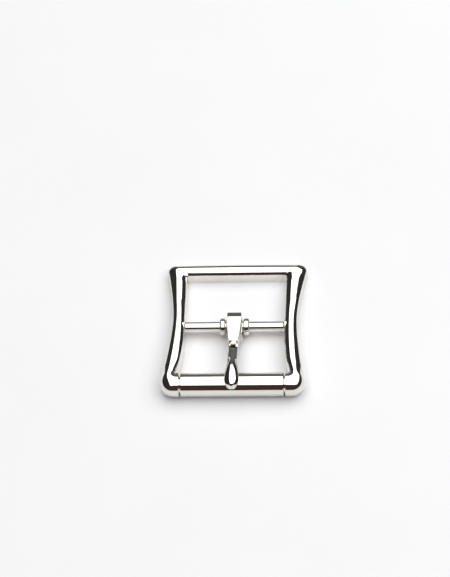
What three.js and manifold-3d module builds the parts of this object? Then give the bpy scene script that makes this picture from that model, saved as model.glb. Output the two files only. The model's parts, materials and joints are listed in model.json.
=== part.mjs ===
// A centre-bar roller buckle for a 30 mm dress belt, with a locking tongue.
// X runs across the belt, Y along it towards the top bar, and Z up from the flat back.
// Three pieces: the cast frame, the tube roller on its front bar, and the tongue on its centre bar.
import * as THREE from "three";
import { ConvexGeometry } from "three/addons/geometries/ConvexGeometry.js";
import { mergeVertices } from "three/addons/utils/BufferGeometryUtils.js";
import Module from "manifold-3d";

// ---- Driving dimensions, in millimetres ----

const STRAP_WIDTH = 30;
const STRAP_PLAY = 0.6; // between each edge of the strap and the side bar beside it
const RUNNING_GAP = 0.3; // between pieces that touch or turn on each other

// Along the belt, from the centre bar's axis.
const BAR_TO_TOP_BAR = 20.0;
const BAR_TO_ROLLER = 22.3;
const OUTER_WAIST_Y = 2.0; // where the frame is narrowest
const INNER_WAIST_Y = -4.0; // where the windows are narrowest
const LUG_START = -15.0; // where the side bars begin to thicken towards the lugs

// The frame's rim.
const TOP_BAR_WIDTH = 4.5;
const TOP_BAR_BULGE = 0.2;
const TOP_BAR_HEIGHT = 4.7; // the rim grows from here to the lugs' full height
const SIDE_BAR_WIDTH = 4.35; // at the waist
const WAIST_SOFTNESS = 2.4; // a larger value rounds the waist over a longer stretch
const OUTER_FLARE = { rear: 0.22, front: 0.182 }; // how fast the sides run apart from there
const INNER_FLARE = { rear: 0.04, front: 0.2 };
const TOP_CORNER = 2.0;
const TOP_INNER_CORNER = 0.8;
const FRONT_CORNER = 4.2;
const LUG_RADIUS = 3.75;
const LUG_FILLET = 0.5;
const RIM_STEPS = { topBar: 5, rearCorner: 5, side: 16, frontCorner: 6, lug: 2 };

// The rim's section: an arc over the top, a tight shoulder at each end of it, walls that spread
// towards the foot, and a flat back. The ridge keeps its place beside the windows.
const RIDGE_TO_WINDOW = 2.45;
const ARC_END = { topBar: 1.1, side: 0.82 }; // in radians from upright
const ARC_TO_FOOT = { topBar: 0.25, side: 0.35 }; // how far the foot spreads beyond the arc
const SHOULDER_RADIUS = 0.45;
const WALL_TURN = 1.5; // the wall's slope, in radians from level
const SECTION_STEPS = { arc: 5, shoulder: 2, wall: 3, back: 2 };
const TURN_SPAN = { topBar: 6, side: 14, from: -1, to: 2 }; // where one shape gives way to the other

// The centre bar and its two stop collars, one casting with the rim.
const BAR_RADIUS = 1.7;
const BAR_HEIGHT = 3.3;
const BAR_FILLET = 0.6;
const BAR_FILLET_SINK = 0.2; // how far the fillet's wide end lies inside the side bar
const COLLAR_RADIUS = 2.8;
const COLLAR_WIDTH = 1.85;
const COLLAR_EDGE = 0.6;
const BAR_SEGMENTS = 28;

// The roller, a strip rolled into a tube.
const ROLLER_RADIUS = 3.7;
const ROLLER_WALL = 0.8;
const ROLLER_EDGE = 0.35;
const ROLLER_END_GAP = 0.35;
const SEAM_WIDTH = 0.2;
const ROLLER_SEGMENTS = 36;

// The tongue: places in front of the centre bar's axis, and heights above it.
const EYE_WIDTH = 5.0;
const EYE_PLAY = 0.3; // between the eye and each collar
const EYE_RADIUS = 2.9;
const HOOK_NOSE = { forward: 4.1, up: -1.25, radius: 0.75 }; // the closed end of the eye's hook
const HOOK_NOSE_TURN = 1; // the angle, in radians, where the nose's round stops
const CRIMP_GAP = 0.35; // between the hook's end and the shaft above it
const CRIMP_HEIGHT = -0.3;
const HEAD_HEIGHT = 4.2; // of the locking face
const HEAD_FRONT = 8.2;
const SHAFT_ROOT = 2.6; // the shaft's top, where it leaves the head
const SHAFT_FOOT = 4.9; // where the shaft's underside leaves the bar's level
const CREST_START = [16.0, 5.4]; // where the shaft's top begins to turn over the roller
const CREST_PULL = [23.0, 6.4, 18.4, 6.3]; // the curve's two control points, from the tip back
const TIP_END = 25.6;
const TIP_EDGE = [25.1, 5.0]; // the upper edge of the tip's blunt end
const TIP_CHAMFER = 0.6; // the height of the edge between the blunt end and the top

// The tongue seen from above, as half widths along its length.
const TONGUE_PLAN = [
  [-EYE_RADIUS - 1, EYE_WIDTH / 2],
  [4.0, EYE_WIDTH / 2],
  [5.2, 2.1],
  [8.3, 1.55],
  [13.0, 1.5],
  [16.6, 1.6],
  [19.4, 1.95],
  [21.9, 2.15],
  [23.7, 2.15],
  [24.8, 1.75],
  [25.4, 1.15],
  [TIP_END + 0.1, 0.4],
];

// The locking head's corners on one side: forward, up, and the half width there.
const HEAD_CORNERS = [
  [-2.85, 0.4, 2.45],
  [-2.95, 3.75, 2.2],
  [-1.0, HEAD_HEIGHT, 2.25],
  [3.5, HEAD_HEIGHT, 2.0],
  [5.6, HEAD_HEIGHT, 1.8],
  [HEAD_FRONT, HEAD_HEIGHT, 1.4],
  [HEAD_FRONT + 0.15, SHAFT_ROOT - 0.2, 1.5],
  [HEAD_FRONT, 1.0, 1.5],
  [4.0, 0.4, 2.45],
];

// ---- Lengths that follow from them ----

const INNER_WAIST = STRAP_WIDTH / 2 + STRAP_PLAY;
const OUTER_WAIST = INNER_WAIST + SIDE_BAR_WIDTH;
const TOP_Y = BAR_TO_TOP_BAR + TOP_BAR_WIDTH;
const ROLLER_Y = -BAR_TO_ROLLER;
const ROLLER_HEIGHT = LUG_RADIUS; // of the roller's axis above the back
const CORE_RADIUS = ROLLER_RADIUS - ROLLER_WALL - RUNNING_GAP;
const COLLAR_INNER = EYE_WIDTH / 2 + EYE_PLAY;
const COLLAR_OUTER = COLLAR_INNER + COLLAR_WIDTH;
const QUARTER = Math.PI / 2;

// The two sides' outlines, and the four corners that join them to the top bar and the lugs.
const OUTER_SIDE = { waist: OUTER_WAIST, waistY: OUTER_WAIST_Y, flare: OUTER_FLARE };
const INNER_SIDE = { waist: INNER_WAIST, waistY: INNER_WAIST_Y, flare: INNER_FLARE };
const OUTER_REAR = corner(OUTER_SIDE, TOP_Y, -TOP_CORNER);
const INNER_REAR = corner(INNER_SIDE, BAR_TO_TOP_BAR, -TOP_INNER_CORNER);
const OUTER_FRONT = corner(OUTER_SIDE, ROLLER_Y - LUG_RADIUS, FRONT_CORNER);
const INNER_FRONT = corner(INNER_SIDE, ROLLER_Y + LUG_RADIUS, LUG_FILLET);
const LUG_FACE = INNER_FRONT.x;
const ROLLER_LENGTH = 2 * (LUG_FACE - ROLLER_END_GAP);

// ---- Small helpers ----

const wasm = await Module();
wasm.setup();

const { lerp, inverseLerp, clamp, smoothstep } = THREE.MathUtils;

function nickel(color, roughness) {
  return new THREE.MeshStandardMaterial({ color, roughness, metalness: 1 });
}

// A closed geometry as a manifold-3d solid.
function solid(geometry) {
  const bare = geometry.clone();
  bare.deleteAttribute("normal");
  bare.deleteAttribute("uv");
  const merged = mergeVertices(bare, 1e-4);
  return new wasm.Manifold(
    new wasm.Mesh({
      numProp: 3,
      vertProperties: new Float32Array(merged.attributes.position.array),
      triVerts: new Uint32Array(merged.index.array),
    }),
  );
}

// A manifold-3d solid as a flat-shaded geometry.
function geometryOf(shape) {
  const mesh = shape.getMesh();
  const indexed = new THREE.BufferGeometry();
  indexed.setAttribute("position", new THREE.BufferAttribute(mesh.vertProperties, 3));
  indexed.setIndex(new THREE.BufferAttribute(mesh.triVerts, 1));
  const flat = indexed.toNonIndexed();
  flat.computeVertexNormals();
  return flat;
}

function namedMesh(name, shape, material) {
  const mesh = new THREE.Mesh(geometryOf(shape), material);
  mesh.name = name;
  return mesh;
}

// A skin over rings of points, all of one length, with a flat cap on each end.
function loft(rings) {
  const count = rings[0].length;
  const points = rings.flat();
  const faces = [];
  for (let r = 0; r + 1 < rings.length; r++) {
    for (let i = 0; i < count; i++) {
      const a = r * count + i;
      const b = r * count + ((i + 1) % count);
      faces.push(a, b, b + count, a, b + count, a + count);
    }
  }
  for (const [ring, flipped] of [
    [0, true],
    [rings.length - 1, false],
  ]) {
    const middle = new THREE.Vector3();
    rings[ring].forEach((p) => middle.addScaledVector(p, 1 / count));
    const hub = points.push(middle) - 1;
    for (let i = 0; i < count; i++) {
      const a = ring * count + i;
      const b = ring * count + ((i + 1) % count);
      faces.push(...(flipped ? [hub, b, a] : [hub, a, b]));
    }
  }
  return new THREE.BufferGeometry().setFromPoints(points).setIndex(faces);
}

// A turned piece whose axis lies along X, from a profile of (radius, place) points.
function turned(profile, segments) {
  const points = profile.map(([radius, place]) => new THREE.Vector2(radius, place));
  return new THREE.LatheGeometry(points, segments).rotateZ(-QUARTER);
}

// Points of a quarter circle about (radius, place), from one angle to another.
function arc(radius, place, size, from, to, steps = 4) {
  return Array.from({ length: steps + 1 }, (_, i) => {
    const angle = lerp(from, to, i / steps);
    return [radius + size * Math.sin(angle), place + size * Math.cos(angle)];
  });
}

// ---- The frame's outline ----

// How far a side has run out from its waist: a hyperbola, round at the waist and straight beyond.
function sideAt({ waist, waistY, flare }, y) {
  const slope = y > waistY ? flare.rear : flare.front;
  const run = slope * (y - waistY);
  const reach = Math.hypot(WAIST_SOFTNESS, run);
  return { half: waist + reach - WAIST_SOFTNESS, normal: -Math.atan((slope * run) / reach) };
}

// The round corner between a side and an edge across the belt: its centre, its radius, and the
// angle and place where it meets the side. A positive rise puts the centre above the edge.
function corner(side, edgeY, rise) {
  const y = edgeY + rise;
  const radius = Math.abs(rise);
  let sideY = y;
  for (let i = 0; i < 4; i++) sideY = y + radius * Math.sin(sideAt(side, sideY).normal);
  const { half, normal } = sideAt(side, sideY);
  return { x: half - radius * Math.cos(normal), y, radius, sideY, sideAngle: normal };
}

function cornerPoint({ x, y, radius }, angle) {
  return [x + radius * Math.cos(angle), y + radius * Math.sin(angle)];
}

// How far the section has turned from the top bar's shape, 0, to the sides', 1. The place counts
// in lengths of the rear corner, from where the corner starts.
function turnAt(place) {
  return smoothstep(place, TURN_SPAN.from, TURN_SPAN.to);
}

// Stations round the right half of the rim, from the middle of the top bar to the front lug: a
// point on the outer outline, a point on the inner one, and the section's turn there.
function rimStations() {
  const stations = [];
  const steps = (count, make) => {
    for (let i = 0; i < count; i++) stations.push(make(i / count));
  };
  const alongSide = (side, from, to, share) => {
    const y = lerp(from.sideY, to.sideY, share);
    return [sideAt(side, y).half, y];
  };
  steps(RIM_STEPS.topBar, (share) => [
    [OUTER_REAR.x * share, TOP_Y + TOP_BAR_BULGE * (1 - share * share)],
    [INNER_REAR.x * share, BAR_TO_TOP_BAR],
    turnAt((share - 1) * TURN_SPAN.topBar),
  ]);
  steps(RIM_STEPS.rearCorner, (share) => [
    cornerPoint(OUTER_REAR, lerp(QUARTER, OUTER_REAR.sideAngle, share)),
    cornerPoint(INNER_REAR, lerp(QUARTER, INNER_REAR.sideAngle, share)),
    turnAt(share),
  ]);
  steps(RIM_STEPS.side, (share) => [
    alongSide(OUTER_SIDE, OUTER_REAR, OUTER_FRONT, share),
    alongSide(INNER_SIDE, INNER_REAR, INNER_FRONT, share),
    turnAt(1 + share * TURN_SPAN.side),
  ]);
  steps(RIM_STEPS.frontCorner, (share) => [
    cornerPoint(OUTER_FRONT, lerp(OUTER_FRONT.sideAngle, -QUARTER, share)),
    cornerPoint(INNER_FRONT, lerp(INNER_FRONT.sideAngle, -QUARTER, share)),
    1,
  ]);
  const lugEnd = [LUG_FACE, ROLLER_Y + LUG_RADIUS];
  const frontY = ROLLER_Y - LUG_RADIUS;
  steps(RIM_STEPS.lug, (share) => [[lerp(OUTER_FRONT.x, LUG_FACE, share), frontY], lugEnd, 1]);
  stations.push([[LUG_FACE, frontY], lugEnd, 1]);
  return stations;
}

// Half of the section, from its ridge to the middle of the back: places out from the ridge, and
// heights. The turn is 0 on the top bar and 1 on the sides; a lug of 1 makes the half a half round.
function sectionHalf(width, height, turn, lug) {
  const arcEnd = lerp(ARC_END.topBar, ARC_END.side, turn);
  const radius = (width - lerp(ARC_TO_FOOT.topBar, ARC_TO_FOOT.side, turn)) / Math.sin(arcEnd);
  const points = [];
  const { arc: arcSteps, shoulder, wall, back } = SECTION_STEPS;
  for (let i = 0; i < arcSteps; i++) {
    const angle = (arcEnd * i) / arcSteps;
    points.push([radius * Math.sin(angle), height - radius * (1 - Math.cos(angle))]);
  }
  const hub = [
    (radius - SHOULDER_RADIUS) * Math.sin(arcEnd),
    height - radius + (radius - SHOULDER_RADIUS) * Math.cos(arcEnd),
  ];
  for (let i = 0; i <= shoulder; i++) {
    const angle = lerp(arcEnd, WALL_TURN, i / shoulder);
    points.push([
      hub[0] + SHOULDER_RADIUS * Math.sin(angle),
      hub[1] + SHOULDER_RADIUS * Math.cos(angle),
    ]);
  }
  const [wallOut, wallTop] = points.at(-1);
  for (let i = 1; i <= wall; i++) {
    points.push([lerp(wallOut, width, i / wall), lerp(wallTop, 0, i / wall)]);
  }
  for (let i = 1; i <= back; i++) points.push([width * (1 - i / (back + 0.5)), 0]);
  return points.map(([out, up], i) => {
    const angle = (Math.PI * i) / (points.length - 0.5);
    const roundUp = (height / 2) * (1 + Math.cos(angle));
    return [lerp(out, width * Math.sin(angle), lug), lerp(up, roundUp, lug)];
  });
}

// The section at a station. It grows towards the front, and turns into the lug's round there.
function rimRing([outer, inner, turn], mirror) {
  const y = (outer[1] + inner[1]) / 2;
  const lug = 1 - smoothstep(y, ROLLER_Y, LUG_START);
  const growth = clamp(inverseLerp(BAR_TO_TOP_BAR, ROLLER_Y, y), 0, 1);
  const height = lerp(TOP_BAR_HEIGHT, 2 * LUG_RADIUS, growth);
  const width = lerp(TOP_BAR_WIDTH, Math.max(outer[0] - inner[0], TOP_BAR_WIDTH), turn);
  const innerWidth = lerp(Math.min(RIDGE_TO_WINDOW, width / 2), width / 2, lug);
  const outerWidth = width - innerWidth;
  const outerHalf = sectionHalf(outerWidth, height, turn, lug);
  const innerHalf = sectionHalf(innerWidth, height, turn, lug);
  const ring = [
    ...outerHalf.map(([out, up]) => [(outerWidth - out) / width, up]).reverse(),
    ...innerHalf.slice(1).map(([out, up]) => [(outerWidth + out) / width, up]),
  ];
  return ring.map(
    ([across, z]) =>
      new THREE.Vector3(
        mirror * lerp(outer[0], inner[0], across),
        lerp(outer[1], inner[1], across),
        z,
      ),
  );
}

function rim() {
  const right = rimStations();
  const left = right.slice(1).reverse();
  return loft([
    ...left.map((station) => rimRing(station, -1)),
    ...right.map((station) => rimRing(station, 1)),
  ]);
}

// The centre bar, with a fillet into each side bar and a rounded collar on each side of the tongue.
function centreBar() {
  const end = INNER_WAIST + SIDE_BAR_WIDTH / 2;
  const filletEnd = INNER_WAIST + BAR_FILLET_SINK;
  const half = [
    [BAR_RADIUS, COLLAR_INNER],
    ...arc(COLLAR_RADIUS - COLLAR_EDGE, COLLAR_INNER + COLLAR_EDGE, COLLAR_EDGE, Math.PI, QUARTER),
    ...arc(COLLAR_RADIUS - COLLAR_EDGE, COLLAR_OUTER - COLLAR_EDGE, COLLAR_EDGE, QUARTER, 0),
    [BAR_RADIUS, COLLAR_OUTER],
    ...arc(BAR_RADIUS + BAR_FILLET, filletEnd - BAR_FILLET, BAR_FILLET, -QUARTER, 0),
    [BAR_RADIUS + BAR_FILLET, end],
    [0, end],
  ];
  const mirrored = half.map(([radius, place]) => [radius, -place]).reverse();
  return turned([...mirrored, ...half], BAR_SEGMENTS).translate(0, 0, BAR_HEIGHT);
}

function frontCore() {
  const half = LUG_FACE + LUG_RADIUS / 2;
  const profile = [
    [0, -half],
    [CORE_RADIUS, -half],
    [CORE_RADIUS, half],
    [0, half],
  ];
  return turned(profile, BAR_SEGMENTS).translate(0, ROLLER_Y, ROLLER_HEIGHT);
}

function frame() {
  const shape = solid(rim()).add(solid(centreBar())).add(solid(frontCore()));
  return namedMesh("frame", shape, nickel(0xcfcac0, 0.12));
}

// ---- The roller ----

// A tube about its own axis, with rounded outer edges and a butt seam right through its wall.
function roller() {
  const half = ROLLER_LENGTH / 2;
  const bore = ROLLER_RADIUS - ROLLER_WALL;
  const edge = ROLLER_RADIUS - ROLLER_EDGE;
  const profile = [
    [bore, half],
    [bore, -half],
    ...arc(edge, ROLLER_EDGE - half, ROLLER_EDGE, Math.PI, QUARTER, 3),
    ...arc(edge, half - ROLLER_EDGE, ROLLER_EDGE, QUARTER, 0, 3),
    [bore, half],
  ];
  const seam = new THREE.BoxGeometry(2 * ROLLER_LENGTH, 2 * ROLLER_RADIUS, SEAM_WIDTH);
  seam.translate(0, -ROLLER_RADIUS, 0).rotateX(QUARTER);
  const mesh = namedMesh(
    "roller",
    solid(turned(profile, ROLLER_SEGMENTS)).subtract(solid(seam)),
    nickel(0xcdc8bd, 0.14),
  );
  mesh.position.set(0, ROLLER_Y, ROLLER_HEIGHT);
  return mesh;
}

// ---- The tongue ----

// The angle on a circle's upper rear side where a line from a point behind it touches it.
function touchAngle(from, centre, radius) {
  const towards = Math.atan2(from.y - centre.y, from.x - centre.x) + 2 * Math.PI;
  return towards - Math.acos(radius / from.distanceTo(centre));
}

function onCircle(centre, radius, angle) {
  return new THREE.Vector2(Math.cos(angle), Math.sin(angle)).multiplyScalar(radius).add(centre);
}

// The tongue seen from its side: forward from the bar's axis, and up. The eye is a hook that
// closes under the shaft. The shaft climbs from the foot of the head to the roller, and the tip
// lies over the roller and ends in a blunt front.
function tongueSide() {
  const rollerAxis = new THREE.Vector2(BAR_TO_ROLLER, ROLLER_HEIGHT - BAR_HEIGHT);
  const seat = ROLLER_RADIUS + RUNNING_GAP;
  const shaftFoot = new THREE.Vector2(SHAFT_FOOT, 0);
  const seatRear = touchAngle(shaftFoot, rollerAxis, seat);
  const seatFront = Math.acos((TIP_END - rollerAxis.x) / seat);
  const seatStart = onCircle(rollerAxis, seat, seatRear);
  const { forward, up, radius } = HOOK_NOSE;
  const hookUnder =
    Math.atan2(up, forward) - QUARTER + Math.asin((EYE_RADIUS - radius) / Math.hypot(up, forward));

  const side = new THREE.Shape();
  side.moveTo(HEAD_FRONT, SHAFT_ROOT);
  side.lineTo(0, EYE_RADIUS);
  side.absarc(0, 0, EYE_RADIUS, QUARTER, hookUnder + 2 * Math.PI, false);
  side.absarc(forward, up, radius, hookUnder, HOOK_NOSE_TURN, false);
  side.lineTo(shaftFoot.x, shaftFoot.y);
  side.lineTo(seatStart.x, seatStart.y);
  side.absarc(rollerAxis.x, rollerAxis.y, seat, seatRear, seatFront, true);
  side.lineTo(TIP_END, TIP_EDGE[1] - TIP_CHAMFER);
  side.lineTo(...TIP_EDGE);
  side.bezierCurveTo(...CREST_PULL, ...CREST_START);
  return side;
}

function tonguePlan() {
  const right = TONGUE_PLAN.map(([forward, half]) => new THREE.Vector2(forward, half));
  const left = TONGUE_PLAN.map(([forward, half]) => new THREE.Vector2(forward, -half));
  return new THREE.Shape([...right, ...left.reverse()]);
}

// The raised locking head: a flat tapered face with a bevel behind, in front and down each side.
function tongueHead() {
  return new ConvexGeometry(
    HEAD_CORNERS.flatMap(([forward, up, half]) => [
      new THREE.Vector3(forward, half, up),
      new THREE.Vector3(forward, -half, up),
    ]),
  );
}

function tongue() {
  const width = 2 * EYE_WIDTH;
  const height = 2 * TIP_END;
  const side = new THREE.ExtrudeGeometry(tongueSide(), {
    depth: width,
    bevelEnabled: false,
    curveSegments: 16,
  });
  side.translate(0, 0, -width / 2).rotateX(QUARTER);
  const plan = new THREE.ExtrudeGeometry(tonguePlan(), { depth: height, bevelEnabled: false });
  plan.translate(0, 0, -height / 2);
  const boreRadius = BAR_RADIUS + RUNNING_GAP;
  const bore = new THREE.CylinderGeometry(boreRadius, boreRadius, width, BAR_SEGMENTS);
  const crimp = new THREE.BoxGeometry(HEAD_FRONT, width, CRIMP_GAP);
  crimp.translate(HEAD_FRONT / 2, 0, CRIMP_HEIGHT);
  const shape = solid(side)
    .intersect(solid(plan))
    .add(solid(tongueHead()))
    .subtract(solid(bore))
    .subtract(solid(crimp));
  const mesh = namedMesh("tongue", shape, nickel(0xd2cdc3, 0.1));
  mesh.rotation.z = -QUARTER;
  mesh.position.z = BAR_HEIGHT;
  return mesh;
}

// ---- The buckle ----

// The origin lies on the back's plane, under the middle of the whole buckle.
const buckle = new THREE.Group();
buckle.add(frame(), roller(), tongue());
const middle = new THREE.Box3().setFromObject(buckle).getCenter(new THREE.Vector3());
buckle.children.forEach((mesh) => mesh.position.sub(new THREE.Vector3(middle.x, middle.y, 0)));

export default buckle;
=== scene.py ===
"""A polished nickel belt buckle: cast frame, tube roller and locking tongue, on a white table."""
import json
import math
from collections import namedtuple

import bpy
import bmesh
import numpy as np
from mathutils import Matrix, Vector


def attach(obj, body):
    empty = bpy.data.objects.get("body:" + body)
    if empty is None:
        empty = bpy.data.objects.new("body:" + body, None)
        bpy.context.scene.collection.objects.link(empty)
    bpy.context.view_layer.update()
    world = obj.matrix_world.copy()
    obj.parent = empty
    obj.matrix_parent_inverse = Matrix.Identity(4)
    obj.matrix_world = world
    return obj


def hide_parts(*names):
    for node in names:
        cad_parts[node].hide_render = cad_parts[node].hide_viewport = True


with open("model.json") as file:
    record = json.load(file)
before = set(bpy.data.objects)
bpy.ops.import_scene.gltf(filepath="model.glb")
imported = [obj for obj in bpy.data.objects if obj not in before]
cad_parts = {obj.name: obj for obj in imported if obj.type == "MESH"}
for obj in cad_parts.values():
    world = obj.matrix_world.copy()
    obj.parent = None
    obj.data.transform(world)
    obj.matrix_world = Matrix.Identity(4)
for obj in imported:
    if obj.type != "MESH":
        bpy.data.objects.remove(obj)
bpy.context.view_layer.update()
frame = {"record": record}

MM = 0.001
QUARTER, FULL_TURN = math.pi / 2, 2 * math.pi

# ---- Dimensions in millimetres: y = 0 is the centre bar's axis, and z = 0 the flat back ----

JOINTS = {joint["name"]: joint for joint in frame["record"]["behaviour"]["joints"]}
HINGE = Vector(JOINTS["tongue_hinge"]["pos_m"]) / MM
SPIN = Vector(JOINTS["roller_spin"]["pos_m"]) / MM

# The rim's outline
STRAP_WIDTH, STRAP_PLAY, RUNNING_GAP = 30, 0.6, 0.3
BAR_TO_TOP_BAR, BAR_TO_ROLLER = 20.0, HINGE.y - SPIN.y
OUTER_WAIST_Y, INNER_WAIST_Y, LUG_START = 2.0, -4.0, -15.0
TOP_BAR_WIDTH, TOP_BAR_BULGE, TOP_BAR_HEIGHT = 4.5, 0.2, 4.7
SIDE_BAR_WIDTH, WAIST_SOFTNESS = 4.35, 2.4
OUTER_FLARE = (0.22, 0.182)  # the side's slope behind its waist, and in front of it
INNER_FLARE = (0.04, 0.2)
TOP_CORNER, TOP_INNER_CORNER, FRONT_CORNER = 2.0, 0.8, 4.2
LUG_RADIUS, LUG_FILLET, LUG_EDGE = 3.75, 0.5, 0.25

# The rim's section: an arc, a shoulder that turns to WALL_TURN radians, and a wall down to the foot
RIDGE_TO_WINDOW, SHOULDER_RADIUS, WALL_TURN = 2.45, 0.45, 1.5
ARC_END = (1.1, 0.82)  # radians, on the top bar and on the sides
ARC_TO_FOOT = (0.25, 0.35)  # from the arc's end out to the foot, likewise

# Places along the rim: a rear corner is 0 to 1, and the section turns from TURN_START to TURN_END
TOP_PLACES, SIDE_PLACES = 6, 14
TURN_START, TURN_END = -1, 2

# Centre bar, collars and roller
BAR_RADIUS, BAR_HEIGHT, BAR_FILLET, BAR_FILLET_SINK = 1.7, HINGE.z, 0.6, 0.2
COLLAR_RADIUS, COLLAR_WIDTH, COLLAR_EDGE = 2.8, 1.85, 0.6
ROLLER_RADIUS, ROLLER_WALL, ROLLER_EDGE, ROLLER_END_GAP = 3.7, 0.8, 0.35, 0.35
ROLLER_LIP, ROLLER_STRAIGHT, SEAM_WIDTH = 0.12, 14, 0.2

# Tongue: places are forward from the centre bar's axis, and heights are above it
EYE_WIDTH, EYE_PLAY, EYE_RADIUS = 5.0, 0.3, 2.9
HOOK_NOSE = (4.1, -1.25, 0.75)  # forward, up and radius
HOOK_NOSE_TURN = 1.0
CRIMP_GAP, CRIMP_HEIGHT = 0.35, -0.3
HEAD_HEIGHT, HEAD_FRONT = 4.2, 8.2
SHAFT_ROOT, SHAFT_FOOT = 2.6, 4.9
CREST_START = (16.0, 5.4)
CREST_PULL = ((23.0, 6.4), (18.4, 6.3))
TIP_END, TIP_EDGE, TIP_CHAMFER = 25.6, (25.1, 5.0), 0.6
TONGUE_PLAN = (  # forward, and half width
    (-3.9, 2.5), (4.0, 2.5), (5.2, 2.1), (8.3, 1.55), (13.0, 1.5), (16.6, 1.6), (19.4, 1.95),
    (21.9, 2.15), (23.7, 2.15), (24.8, 1.75), (25.4, 1.15), (25.7, 0.4),
)
HEAD_CORNERS = (  # forward, up and half width
    (-2.85, 0.4, 2.45), (-2.95, 3.75, 2.2), (-1.0, HEAD_HEIGHT, 2.25), (3.5, HEAD_HEIGHT, 2.0),
    (5.6, HEAD_HEIGHT, 1.8), (HEAD_FRONT, HEAD_HEIGHT, 1.4),
    (HEAD_FRONT + 0.15, SHAFT_ROOT - 0.2, 1.5), (HEAD_FRONT, 1.0, 1.5), (4.0, 0.4, 2.45),
)
SHAFT_RIDGE, TIP_CROWN = 0.7, 1.1
RIDGE_START = (0.1, 1.6)  # in front of the head
CROWN_START = (13.5, 17.5)
RIDGE_SOFTNESS = 0.02
THINNEST, DEEPEST_SHARE = 0.3, 0.75  # the crown takes at most this share of the thickness
PLAN_REACH = 30  # above and below the whole tongue

# Worked out from these
INNER_WAIST = STRAP_WIDTH / 2 + STRAP_PLAY
OUTER_WAIST = INNER_WAIST + SIDE_BAR_WIDTH
TOP_Y = BAR_TO_TOP_BAR + TOP_BAR_WIDTH
ROLLER_Y = -BAR_TO_ROLLER
FRONT_Y = ROLLER_Y - LUG_RADIUS
ROLLER_HEIGHT = SPIN.z
CORE_RADIUS = ROLLER_RADIUS - ROLLER_WALL - RUNNING_GAP
COLLAR_INNER = EYE_WIDTH / 2 + EYE_PLAY
COLLAR_OUTER = COLLAR_INNER + COLLAR_WIDTH
SEAT_CENTRE = (BAR_TO_ROLLER, ROLLER_HEIGHT - BAR_HEIGHT)
SEAT_RADIUS = ROLLER_RADIUS + RUNNING_GAP

# Mesh density
TOP_STEPS, REAR_STEPS, SIDE_STEPS, FRONT_STEPS, LUG_STEPS, LUG_EDGE_STEPS = 24, 20, 96, 28, 6, 7
ARC_STEPS, SHOULDER_STEPS, WALL_STEPS, FOOT_STEPS = 14, 9, 6, 4
BAR_SEGMENTS, CORE_SEGMENTS, ROLLER_SEGMENTS = 72, 48, 110
EDGE_STEPS, LIP_STEPS, ROLLER_STATIONS = 8, 3, 15
EYE_STEPS, NOSE_STEPS, SEAT_STEPS, CREST_STEPS, CROWN_STEPS, PLAN_STEPS = 60, 24, 40, 40, 60, 160
BORE_SEGMENTS, SETTLING_PASSES = 72, 4
VOXEL, SMOOTHING, BODY_PASSES, CROWN_PASSES = 0.085, 0.5, 7, 4


def lerp(a, b, share):
    return a + (b - a) * share


def smoothstep(value, low, high):
    share = np.clip((value - low) / (high - low), 0, 1)
    return share * share * (3 - 2 * share)


# ---- Mesh helpers ----

def add_object(name, data):
    piece = bpy.data.objects.new(name, data)
    bpy.context.scene.collection.objects.link(piece)
    return piece


def face_outwards(mesh):
    work = bmesh.new()
    work.from_mesh(mesh)
    bmesh.ops.recalc_face_normals(work, faces=work.faces)
    work.to_mesh(mesh)
    work.free()


def make_object(name, points, faces, sharp_angle):
    """An object from points in millimetres, with y counted from the centre bar's axis."""
    mesh = bpy.data.meshes.new(name)
    placed = (np.asarray(points, float) + [0, HINGE.y, 0]) * MM
    mesh.from_pydata(placed.tolist(), [], faces)
    mesh.validate()
    mesh.update()
    face_outwards(mesh)
    mesh.shade_smooth()
    mesh.set_sharp_from_angle(angle=math.radians(sharp_angle))
    return add_object(name, mesh)


def skin(rings):
    """Points and faces of a skin over rings of equal length, with a cap at each end."""
    rings = np.asarray(rings, float)
    count, length = rings.shape[:2]
    points = rings.reshape(-1, 3).tolist()
    faces = []
    for r in range(count - 1):
        start, after = r * length, (r + 1) * length
        for i in range(length):
            j = (i + 1) % length
            faces.append((start + i, start + j, after + j, after + i))
    for ring, start in ((rings[0], 0), (rings[-1], (count - 1) * length)):
        points.append(ring.mean(axis=0).tolist())
        hub = len(points) - 1
        faces += [(hub, start + i, start + (i + 1) % length) for i in range(length)]
    return points, faces


def arc(radius, place, size, start, end, steps=EDGE_STEPS):
    """Points of a circle's arc about (radius, place), as (radius, place) pairs."""
    angles = np.linspace(start, end, steps + 1)
    return [(radius + size * math.sin(a), place + size * math.cos(a)) for a in angles]


def turned(profile, segments, y, z, start=0.0, sweep=FULL_TURN):
    """Copies of a profile of (radius, x) points, turned round an axis along X."""
    steps = segments if sweep == FULL_TURN else segments + 1
    copies = []
    for i in range(steps):
        angle = start + sweep * i / segments
        copies.append([(x, y + r * math.cos(angle), z + r * math.sin(angle)) for r, x in profile])
    return np.array(copies)


def rod(name, profile, segments, y, z):
    """A solid turned round an axis along X, from a profile that runs from end to end."""
    rings = np.swapaxes(turned(profile, segments, y, z), 0, 1)
    return make_object(name, *skin(rings), sharp_angle=50)


# ---- The rim ----

Side = namedtuple("Side", "waist waist_y flare")
Corner = namedtuple("Corner", "x y radius side_y normal")


def side_at(side, y):
    """A side's half width at y, and its normal's angle from straight out."""
    slope = side.flare[0] if y > side.waist_y else side.flare[1]
    run = slope * (y - side.waist_y)
    reach = math.hypot(WAIST_SOFTNESS, run)
    return side.waist + reach - WAIST_SOFTNESS, -math.atan(slope * run / reach)


def corner(side, edge_y, rise):
    """The round corner between an edge and a side, which it meets at side_y."""
    y, radius = edge_y + rise, abs(rise)
    side_y = y
    for _ in range(SETTLING_PASSES):
        side_y = y + radius * math.sin(side_at(side, side_y)[1])
    half, normal = side_at(side, side_y)
    return Corner(half - radius * math.cos(normal), y, radius, side_y, normal)


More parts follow.
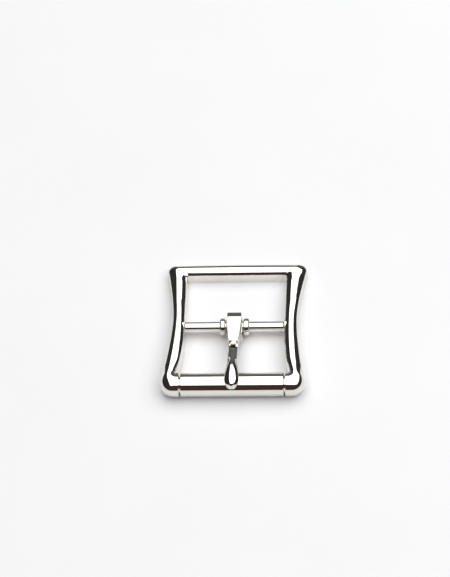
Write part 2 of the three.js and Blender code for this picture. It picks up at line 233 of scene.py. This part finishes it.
def corner_point(bend, angle):
    return bend.x + bend.radius * math.cos(angle), bend.y + bend.radius * math.sin(angle)


OUTER_SIDE = Side(OUTER_WAIST, OUTER_WAIST_Y, OUTER_FLARE)
INNER_SIDE = Side(INNER_WAIST, INNER_WAIST_Y, INNER_FLARE)
OUTER_REAR = corner(OUTER_SIDE, TOP_Y, -TOP_CORNER)
INNER_REAR = corner(INNER_SIDE, BAR_TO_TOP_BAR, -TOP_INNER_CORNER)
OUTER_FRONT = corner(OUTER_SIDE, FRONT_Y, FRONT_CORNER)
INNER_FRONT = corner(INNER_SIDE, ROLLER_Y + LUG_RADIUS, LUG_FILLET)
LUG_FACE = INNER_FRONT.x
LUG_END = LUG_FACE + LUG_EDGE
ROLLER_HALF = LUG_FACE - ROLLER_END_GAP


def turn_at(place):
    """How far the section has turned from the top bar's shape to the sides'."""
    return smoothstep(place, TURN_START, TURN_END)


def rim_stations():
    """Outer point, inner point and turn of each section, from the top bar's middle to the lug."""
    stations = []

    def steps(count, make):
        stations.extend(make(i / count) for i in range(count))

    def along(side, start, end, share):
        y = lerp(start.side_y, end.side_y, share)
        return side_at(side, y)[0], y

    steps(TOP_STEPS, lambda share: (
        (OUTER_REAR.x * share, TOP_Y + TOP_BAR_BULGE * (1 - share * share)),
        (INNER_REAR.x * share, BAR_TO_TOP_BAR), turn_at((share - 1) * TOP_PLACES)))
    steps(REAR_STEPS, lambda share: (
        corner_point(OUTER_REAR, lerp(QUARTER, OUTER_REAR.normal, share)),
        corner_point(INNER_REAR, lerp(QUARTER, INNER_REAR.normal, share)), turn_at(share)))
    steps(SIDE_STEPS, lambda share: (
        along(OUTER_SIDE, OUTER_REAR, OUTER_FRONT, share),
        along(INNER_SIDE, INNER_REAR, INNER_FRONT, share), turn_at(1 + share * SIDE_PLACES)))
    fillet_end = -math.acos(LUG_EDGE / LUG_FILLET)
    steps(FRONT_STEPS, lambda share: (
        corner_point(OUTER_FRONT, lerp(OUTER_FRONT.normal, -QUARTER, share)),
        corner_point(INNER_FRONT, lerp(INNER_FRONT.normal, fillet_end, share)), 1.0))
    inner_end = corner_point(INNER_FRONT, fillet_end)
    steps(LUG_STEPS, lambda share: (
        (lerp(OUTER_FRONT.x, LUG_END, share), FRONT_Y), inner_end, 1.0))
    stations.append(((LUG_END, FRONT_Y), inner_end, 1.0))
    return stations


def section_half(width, height, turn, lug):
    """Half of the section, from its ridge to the middle of the back: places out, and heights.

    It turns from the top bar's shape to the sides' with turn, and to half an oval with lug.
    """
    arc_end = lerp(*ARC_END, turn)
    radius = (width - lerp(*ARC_TO_FOOT, turn)) / math.sin(arc_end)
    angle = np.linspace(0, arc_end, ARC_STEPS, endpoint=False)
    out, up = [radius * np.sin(angle)], [height - radius * (1 - np.cos(angle))]
    angle = np.linspace(arc_end, WALL_TURN, SHOULDER_STEPS)
    hub = radius - SHOULDER_RADIUS
    out.append(hub * math.sin(arc_end) + SHOULDER_RADIUS * np.sin(angle))
    up.append(height - radius + hub * math.cos(arc_end) + SHOULDER_RADIUS * np.cos(angle))
    share = np.linspace(0, 1, WALL_STEPS + 1)[1:]
    out.append(lerp(out[-1][-1], width, share))
    up.append(lerp(up[-1][-1], 0, share))
    out.append(width * (1 - np.arange(1, FOOT_STEPS + 1) / (FOOT_STEPS + 0.5)))
    up.append(np.zeros(FOOT_STEPS))
    out, up = np.concatenate(out), np.concatenate(up)
    angle = math.pi * np.arange(len(out)) / (len(out) - 0.5)
    return lerp(out, width * np.sin(angle), lug), lerp(up, height / 2 * (1 + np.cos(angle)), lug)


def rim_ring(station):
    """The section at a station: higher towards the front, and round at the lug."""
    outer, inner, turn = np.array(station[0]), np.array(station[1]), station[2]
    y = (outer[1] + inner[1]) / 2
    lug = 1 - smoothstep(y, ROLLER_Y, LUG_START)
    growth = np.clip((BAR_TO_TOP_BAR - y) / (BAR_TO_TOP_BAR - ROLLER_Y), 0, 1)
    height = lerp(TOP_BAR_HEIGHT, 2 * LUG_RADIUS, growth)
    width = lerp(TOP_BAR_WIDTH, max(outer[0] - inner[0], TOP_BAR_WIDTH), turn)
    inner_width = lerp(min(RIDGE_TO_WINDOW, width / 2), width / 2, lug)
    outer_width = width - inner_width
    out, up = section_half(outer_width, height, turn, lug)
    into, down = section_half(inner_width, height, turn, lug)
    across = np.concatenate([(outer_width - out)[::-1], (outer_width + into)[1:]]) / width
    z = np.concatenate([up[::-1], down[1:]])
    return np.column_stack([outer + (inner - outer) * across[:, None], z])


def rim():
    right = [rim_ring(station) for station in rim_stations()]
    hub = np.array([LUG_END, ROLLER_Y, LUG_RADIUS])
    last = right[-1]
    for turn in np.linspace(0, QUARTER, LUG_EDGE_STEPS + 1)[1:]:
        share = 1 - LUG_EDGE / LUG_RADIUS * (1 - math.cos(turn))
        ring = hub + (last - hub) * share
        ring[:, 0] = LUG_FACE + LUG_EDGE * (1 - math.sin(turn))
        right.append(ring)
    right = np.array(right)
    left = right[:0:-1] * [-1, 1, 1]
    return make_object("frame_rim", *skin(np.concatenate([left, right])), sharp_angle=38)


def centre_bar():
    end = INNER_WAIST + SIDE_BAR_WIDTH / 2
    fillet_end = INNER_WAIST + BAR_FILLET_SINK
    edge = COLLAR_RADIUS - COLLAR_EDGE
    half = [
        (BAR_RADIUS, COLLAR_INNER),
        *arc(edge, COLLAR_INNER + COLLAR_EDGE, COLLAR_EDGE, math.pi, QUARTER),
        *arc(edge, COLLAR_OUTER - COLLAR_EDGE, COLLAR_EDGE, QUARTER, 0),
        (BAR_RADIUS, COLLAR_OUTER),
        *arc(BAR_RADIUS + BAR_FILLET, fillet_end - BAR_FILLET, BAR_FILLET, -QUARTER, 0),
        (BAR_RADIUS + BAR_FILLET, end),
    ]
    profile = [(r, -x) for r, x in reversed(half)] + half
    return rod("frame_centre_bar", profile, BAR_SEGMENTS, 0, BAR_HEIGHT)


def front_core():
    half = LUG_FACE + LUG_RADIUS / 2
    profile = [(CORE_RADIUS, x) for x in (-half, 0, half)]
    return rod("frame_front_core", profile, CORE_SEGMENTS, ROLLER_Y, ROLLER_HEIGHT)


# ---- The roller ----

def roller():
    """A strip rolled into a tube: rounded lips at its ends, and a butt seam along its underside."""
    lip = ROLLER_RADIUS - ROLLER_WALL + ROLLER_LIP  # the radius of each round edge's centre
    edge = ROLLER_RADIUS - ROLLER_EDGE
    profile = [
        *arc(lip, ROLLER_LIP - ROLLER_HALF, ROLLER_LIP, -QUARTER, -math.pi, LIP_STEPS),
        *arc(edge, ROLLER_EDGE - ROLLER_HALF, ROLLER_EDGE, math.pi, QUARTER),
        *[(ROLLER_RADIUS, x) for x in np.linspace(-ROLLER_STRAIGHT, ROLLER_STRAIGHT, ROLLER_STATIONS)],
        *arc(edge, ROLLER_HALF - ROLLER_EDGE, ROLLER_EDGE, QUARTER, 0),
        *arc(lip, ROLLER_HALF - ROLLER_LIP, ROLLER_LIP, 0, -QUARTER, LIP_STEPS),
    ]
    slot = SEAM_WIDTH / 2 / ROLLER_RADIUS
    rings = turned(profile, ROLLER_SEGMENTS, ROLLER_Y, ROLLER_HEIGHT,
                   start=slot - QUARTER, sweep=FULL_TURN - 2 * slot)
    return make_object("roller_tube", *skin(rings), sharp_angle=40)


# ---- The tongue ----

def circle_points(centre, radius, start, end, steps):
    angles = np.linspace(start, end, steps + 1)
    return [(centre[0] + radius * math.cos(a), centre[1] + radius * math.sin(a)) for a in angles]


def bezier(a, b, c, d, steps):
    t = np.linspace(0, 1, steps + 1)[:, None]
    a, b, c, d = (np.array(p, float) for p in (a, b, c, d))
    return a * (1 - t) ** 3 + 3 * b * t * (1 - t) ** 2 + 3 * c * t * t * (1 - t) + d * t ** 3


def seat_angles():
    """Where the hollow that rests on the roller begins, and where it ends at the tip."""
    back = math.atan2(-SEAT_CENTRE[1], SHAFT_FOOT - SEAT_CENTRE[0]) + FULL_TURN
    reach = math.hypot(SEAT_CENTRE[0] - SHAFT_FOOT, SEAT_CENTRE[1])
    rear = back - math.acos(SEAT_RADIUS / reach)
    front = math.acos((TIP_END - SEAT_CENTRE[0]) / SEAT_RADIUS)
    return rear, front


def crest(steps):
    return bezier(TIP_EDGE, *CREST_PULL, CREST_START, steps)


def tongue_outline():
    """The tongue's side outline: forward from the bar's axis, and up."""
    forward, up, radius = HOOK_NOSE
    under = math.atan2(up, forward) - QUARTER
    under += math.asin((EYE_RADIUS - radius) / math.hypot(up, forward))
    rear, front = seat_angles()
    outline = [(HEAD_FRONT, SHAFT_ROOT)]
    outline += circle_points((0, 0), EYE_RADIUS, QUARTER, under + FULL_TURN, EYE_STEPS)
    outline += circle_points((forward, up), radius, under, HOOK_NOSE_TURN, NOSE_STEPS)
    outline += [(SHAFT_FOOT, 0)]
    outline += circle_points(SEAT_CENTRE, SEAT_RADIUS, rear, front, SEAT_STEPS)
    outline += [(TIP_END, TIP_EDGE[1] - TIP_CHAMFER)]
    outline += [tuple(p) for p in crest(CREST_STEPS)]
    return outline


def prism(outline, reach, upright=False):
    """A closed prism over an outline: across the tongue, or upright for an outline from above."""
    points = []
    for place in (-reach, reach):
        for a, b in outline:
            points.append((a, b, place) if upright else (a, place, b))
    n = len(outline)
    faces = [tuple(range(n)), tuple(range(2 * n - 1, n - 1, -1))]
    faces += [(i, i + n, (i + 1) % n + n, (i + 1) % n) for i in range(n)]
    return points, faces


def block(name, points, faces):
    """A helper solid in millimetres, joined to or cut from another and then removed."""
    mesh = bpy.data.meshes.new(name)
    mesh.from_pydata([tuple(map(float, p)) for p in points], [], faces)
    face_outwards(mesh)
    return add_object(name, mesh)


def hull(name, corners):
    """A helper solid round the given corners, each on both sides of the tongue."""
    work = bmesh.new()
    for forward, up, half in corners:
        for side in (-half, half):
            work.verts.new((forward, side, up))
    made = bmesh.ops.convex_hull(work, input=work.verts)
    inside = made["geom_interior"] + made["geom_unused"]
    loose = [part for part in inside if isinstance(part, bmesh.types.BMVert)]
    bmesh.ops.delete(work, geom=loose, context="VERTS")
    mesh = bpy.data.meshes.new(name)
    work.to_mesh(mesh)
    work.free()
    return add_object(name, mesh)


def bake_modifiers(piece):
    bpy.context.view_layer.update()
    shown = piece.evaluated_get(bpy.context.evaluated_depsgraph_get())
    mesh = bpy.data.meshes.new_from_object(shown)
    piece.modifiers.clear()
    old = piece.data
    piece.data = mesh
    bpy.data.meshes.remove(old)


def combine(piece, other, operation):
    change = piece.modifiers.new("join", "BOOLEAN")
    change.object, change.operation, change.solver = other, operation, "EXACT"
    bake_modifiers(piece)
    bpy.data.objects.remove(other)


def soften(piece, passes):
    change = piece.modifiers.new("soften", "SMOOTH")
    change.factor, change.iterations = SMOOTHING, passes


def read_points(mesh):
    points = np.empty(len(mesh.vertices) * 3)
    mesh.vertices.foreach_get("co", points)
    return points.reshape(-1, 3)


def write_points(mesh, points):
    mesh.vertices.foreach_set("co", points.ravel())
    mesh.update()


def dense_plan():
    """The tongue's half width along its length, on a smooth curve through the plan's stations."""
    forward, half = np.array(TONGUE_PLAN).T
    where = np.linspace(forward[0], forward[-1], PLAN_STEPS)
    slopes = np.gradient(half, forward)
    i = np.clip(np.searchsorted(forward, where, side="right") - 1, 0, len(forward) - 2)
    span = forward[i + 1] - forward[i]
    t = (where - forward[i]) / span
    smooth = (
        half[i] * (1 + 2 * t) * (1 - t) ** 2 + half[i + 1] * t * t * (3 - 2 * t)
        + span * (slopes[i] * t * (1 - t) ** 2 - slopes[i + 1] * t * t * (1 - t)))
    return where, np.minimum(smooth, EYE_WIDTH / 2)


def crown(points, where, half):
    """Turns the shaft's flat top into a low ridge, and the tip's into a dome."""
    forward, side, up = points.T.copy()
    rear = seat_angles()[0]
    seat_start = SEAT_CENTRE[0] + SEAT_RADIUS * math.cos(rear)
    seat_rise = SEAT_CENTRE[1] + SEAT_RADIUS * math.sin(rear)
    climb = np.interp(forward, [SHAFT_FOOT, seat_start], [0, seat_rise])
    beyond = np.clip(SEAT_RADIUS ** 2 - (forward - SEAT_CENTRE[0]) ** 2, 0, None)
    floor = np.where(forward < seat_start, climb, SEAT_CENTRE[1] + np.sqrt(beyond))
    top = crest(CROWN_STEPS)[::-1]
    along = np.concatenate([[HEAD_FRONT], top[:, 0], [TIP_END]])
    above = np.concatenate([[SHAFT_ROOT], top[:, 1], [TIP_EDGE[1] - TIP_CHAMFER]])
    thick = np.maximum(np.interp(forward, along, above) - floor, THINNEST)
    share = np.clip((up - floor) / thick, 0, 1)
    out = np.clip(np.abs(side) / np.interp(forward, where, half), 0, 1)
    tip = smoothstep(forward, *CROWN_START)
    root = smoothstep(forward, HEAD_FRONT + RIDGE_START[0], HEAD_FRONT + RIDGE_START[1])
    ridge = SHAFT_RIDGE * (np.sqrt(out ** 2 + RIDGE_SOFTNESS) - math.sqrt(RIDGE_SOFTNESS))
    dome = TIP_CROWN * out ** 2
    drop = root * lerp(ridge, dome, tip)
    up = up - share * np.minimum(drop, thick * DEEPEST_SHARE)
    return np.column_stack([forward, side, up])


def tongue():
    """The side outline cut to the plan, with the head, the bore and the crimp gap, then softened."""
    body = block("tongue_side", *prism(tongue_outline(), EYE_WIDTH))
    where, half = dense_plan()
    plan = list(zip(where, half)) + list(zip(where[::-1], -half[::-1]))
    combine(body, block("tongue_plan", *prism(plan, PLAN_REACH, upright=True)), "INTERSECT")
    combine(body, hull("tongue_head", HEAD_CORNERS), "UNION")
    last = BORE_SEGMENTS - 1
    bore = circle_points((0, 0), BAR_RADIUS + RUNNING_GAP, 0, FULL_TURN * last / BORE_SEGMENTS, last)
    combine(body, block("tongue_bore", *prism(bore, EYE_WIDTH)), "DIFFERENCE")
    low, high = CRIMP_HEIGHT - CRIMP_GAP / 2, CRIMP_HEIGHT + CRIMP_GAP / 2
    crimp = [(0, low), (HEAD_FRONT, low), (HEAD_FRONT, high), (0, high)]
    combine(body, block("tongue_crimp", *prism(crimp, EYE_WIDTH)), "DIFFERENCE")

    remesh = body.modifiers.new("even", "REMESH")
    remesh.mode, remesh.voxel_size, remesh.use_smooth_shade = "VOXEL", VOXEL, True
    soften(body, BODY_PASSES)
    bake_modifiers(body)
    write_points(body.data, crown(read_points(body.data), where, half))
    soften(body, CROWN_PASSES)
    bake_modifiers(body)
    forward, side, up = read_points(body.data).T
    placed = np.column_stack([side, -forward + HINGE.y, up + BAR_HEIGHT]) * MM
    write_points(body.data, placed)
    body.data.shade_smooth()
    body.name = "tongue_casting"
    return body


# ---- Materials ----

def colour_ramp(nodes, *stops):
    """A colour ramp with the given stops, each a position and a colour."""
    ramp = nodes.new("ShaderNodeValToRGB")
    elements = ramp.color_ramp.elements
    for i, (position, colour) in enumerate(stops):
        element = elements[i] if i < len(elements) else elements.new(position)
        element.position, element.color = position, (*colour, 1)
    return ramp


def nickel(name, colour, roughness, seed):
    """Bright nickel plate over a polished casting: faint ripple, hairline scratches, dull patches."""
    material = bpy.data.materials.new(name)
    material.use_nodes = True
    nodes, links = material.node_tree.nodes, material.node_tree.links
    shader = nodes["Principled BSDF"]
    shader.inputs["Metallic"].default_value = 1.0

    where = nodes.new("ShaderNodeTexCoord")
    shift = nodes.new("ShaderNodeMapping")
    shift.inputs["Location"].default_value = (seed, seed * 0.7, -seed)
    links.new(where.outputs["Object"], shift.inputs["Vector"])

    def noise(scale, detail, stretch=None, distortion=0.0):
        texture = nodes.new("ShaderNodeTexNoise")
        texture.inputs["Scale"].default_value = scale
        texture.inputs["Detail"].default_value = detail
        texture.inputs["Distortion"].default_value = distortion
        source = shift
        if stretch:
            source = nodes.new("ShaderNodeMapping")
            source.inputs["Scale"].default_value = stretch
            source.inputs["Rotation"].default_value = (0.0, 0.0, 0.35)
            links.new(shift.outputs["Vector"], source.inputs["Vector"])
        links.new(source.outputs["Vector"], texture.inputs["Vector"])
        return texture.outputs["Fac"]

    def spread(value, low, high, to_low, to_high):
        change = nodes.new("ShaderNodeMapRange")
        change.inputs["From Min"].default_value = low
        change.inputs["From Max"].default_value = high
        change.inputs["To Min"].default_value = to_low
        change.inputs["To Max"].default_value = to_high
        links.new(value, change.inputs["Value"])
        return change.outputs["Result"]

    def add(a, b):
        total = nodes.new("ShaderNodeMath")
        total.operation = "ADD"
        links.new(a, total.inputs[0])
        links.new(b, total.inputs[1])
        return total.outputs["Value"]

    def bump(height, strength, distance):
        relief = nodes.new("ShaderNodeBump")
        relief.inputs["Strength"].default_value = strength
        relief.inputs["Distance"].default_value = distance
        links.new(height, relief.inputs["Height"])
        return relief

    ramp = colour_ramp(nodes, (0.3, [c * 0.94 for c in colour]), (0.7, colour))
    links.new(noise(scale=210, detail=5), ramp.inputs["Fac"])
    links.new(ramp.outputs["Color"], shader.inputs["Base Color"])

    patches = noise(scale=330, detail=4, distortion=0.6)
    dull = spread(patches, 0.45, 0.75, roughness * 0.6, roughness * 1.8)
    hairs = spread(noise(scale=60, detail=6, stretch=(1.0, 55.0, 30.0)), 0.62, 0.75, 0.0, 0.09)
    pits = spread(noise(scale=2600, detail=2), 0.7, 0.8, 0.0, 0.12)
    links.new(add(add(dull, hairs), pits), shader.inputs["Roughness"])

    ripple = bump(noise(scale=260, detail=3), strength=0.35, distance=0.00004)
    lines = noise(scale=90, detail=5, stretch=(1.0, 40.0, 25.0))
    scratch = bump(lines, strength=0.25, distance=0.000006)
    links.new(ripple.outputs["Normal"], scratch.inputs["Normal"])
    links.new(scratch.outputs["Normal"], shader.inputs["Normal"])
    return material


def table_material():
    material = bpy.data.materials.new("white_table")
    material.use_nodes = True
    nodes, links = material.node_tree.nodes, material.node_tree.links
    shader = nodes["Principled BSDF"]
    shader.inputs["Roughness"].default_value = 0.75
    shader.inputs["Specular IOR Level"].default_value = 0.2
    where = nodes.new("ShaderNodeTexCoord")
    mottle = nodes.new("ShaderNodeTexNoise")
    mottle.inputs["Scale"].default_value = 22
    mottle.inputs["Detail"].default_value = 4
    links.new(where.outputs["Object"], mottle.inputs["Vector"])
    ramp = colour_ramp(nodes, (0.0, (0.86, 0.86, 0.865)), (1.0, (0.90, 0.90, 0.90)))
    links.new(mottle.outputs["Fac"], ramp.inputs["Fac"])
    links.new(ramp.outputs["Color"], shader.inputs["Base Color"])
    return material


def give(piece, body, slot, material, *replaced):
    piece.data.materials.clear()
    piece.data.materials.append(material)
    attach(piece, body)
    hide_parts(*replaced)


cast = nickel("cast_nickel", (0.80, 0.775, 0.735), roughness=0.05, seed=0.0)
rolled = nickel("rolled_nickel", (0.79, 0.765, 0.725), roughness=0.055, seed=3.1)
polished = nickel("tongue_nickel", (0.80, 0.775, 0.735), roughness=0.06, seed=7.7)

for piece in (rim(), centre_bar(), front_core()):
    give(piece, "frame", "frame_nickel", cast, "frame")
give(roller(), "roller", "roller_nickel", rolled, "roller")
give(tongue(), "tongue", "tongue_nickel", polished, "tongue")


# ---- Table, light and camera ----

TABLE_RADIUS, TABLE_SEGMENTS = 4.0, 96
BOX_HEIGHT, BOX_POWER, BOX_TINT = 1.3, 43.0, (0.99, 0.995, 1.0)
BOX_X, BOX_Y = (-0.61, 1.4), (-0.8, 1.16)  # the lamp's edges, as shares of its height
AZIMUTH, ELEVATION, ROLL = (math.radians(a) for a in (7.0, 54.0, 6.2))
TARGET, DISTANCE, LENS, SENSOR = Vector((0, 0, 0.003)), 0.660, 130.62, 36.0
TARGET_RIGHT, TARGET_UP = 0.00468, -0.01944  # off the picture's middle, as tangents


def table():
    mesh = bpy.data.meshes.new("table")
    work = bmesh.new()
    bmesh.ops.create_circle(work, cap_ends=True, radius=TABLE_RADIUS, segments=TABLE_SEGMENTS)
    work.to_mesh(mesh)
    work.free()
    mesh.materials.append(table_material())
    piece = add_object("table", mesh)


def room():
    """Dark surroundings: brown on the near side, and lighter on the far side."""
    world = bpy.data.worlds.new("room")
    bpy.context.scene.world = world
    world.use_nodes = True
    nodes, links = world.node_tree.nodes, world.node_tree.links
    back = nodes["Background"]
    where = nodes.new("ShaderNodeTexCoord")
    split = nodes.new("ShaderNodeSeparateXYZ")
    links.new(where.outputs["Generated"], split.inputs["Vector"])
    lift = nodes.new("ShaderNodeMapRange")
    lift.inputs["From Min"].default_value = -1.0
    lift.inputs["From Max"].default_value = 1.0
    links.new(split.outputs["Y"], lift.inputs["Value"])
    ramp = colour_ramp(
        nodes, (0.05, (0.055, 0.032, 0.026)), (0.45, (0.030, 0.029, 0.030)),
        (0.86, (0.035, 0.035, 0.0343)), (0.96, (0.15, 0.15, 0.147)))
    links.new(lift.outputs["Result"], ramp.inputs["Fac"])
    links.new(ramp.outputs["Color"], back.inputs["Color"])
    back.inputs["Strength"].default_value = 1.0


def overhead_lamp():
    """A softbox that faces straight down; the polished metal mirrors its edges."""
    (left, right), (near, far) = ([share * BOX_HEIGHT for share in edges] for edges in (BOX_X, BOX_Y))
    data = bpy.data.lights.new("overhead", "AREA")
    data.shape, data.size, data.size_y = "RECTANGLE", right - left, far - near
    data.energy, data.color = BOX_POWER, BOX_TINT
    lamp = add_object("overhead", data)
    lamp.location = ((left + right) / 2, (near + far) / 2, BOX_HEIGHT)


def camera():
    right = Vector((math.cos(AZIMUTH), math.sin(AZIMUTH), 0))
    back = Vector((math.sin(AZIMUTH) * math.cos(ELEVATION), -math.cos(AZIMUTH) * math.cos(ELEVATION),
                   math.sin(ELEVATION)))
    up = back.cross(right)
    right, up = (right * math.cos(ROLL) - up * math.sin(ROLL),
                 right * math.sin(ROLL) + up * math.cos(ROLL))
    place = TARGET + back * DISTANCE
    ahead = (-back - right * TARGET_RIGHT - up * TARGET_UP).normalized()
    right = (right - ahead * right.dot(ahead)).normalized()
    up = right.cross(ahead)
    data = bpy.data.cameras.new("camera")
    data.sensor_width, data.lens = SENSOR, LENS
    data.clip_start, data.clip_end = 0.01, 50
    seat = add_object("camera", data)
    seat.matrix_world = Matrix((
        (right.x, up.x, -ahead.x, place.x),
        (right.y, up.y, -ahead.y, place.y),
        (right.z, up.z, -ahead.z, place.z),
        (0, 0, 0, 1)))
    bpy.context.scene.camera = seat


table()
room()
overhead_lamp()
camera()
bpy.context.scene.view_settings.view_transform = "Standard"

bpy.context.view_layer.update()
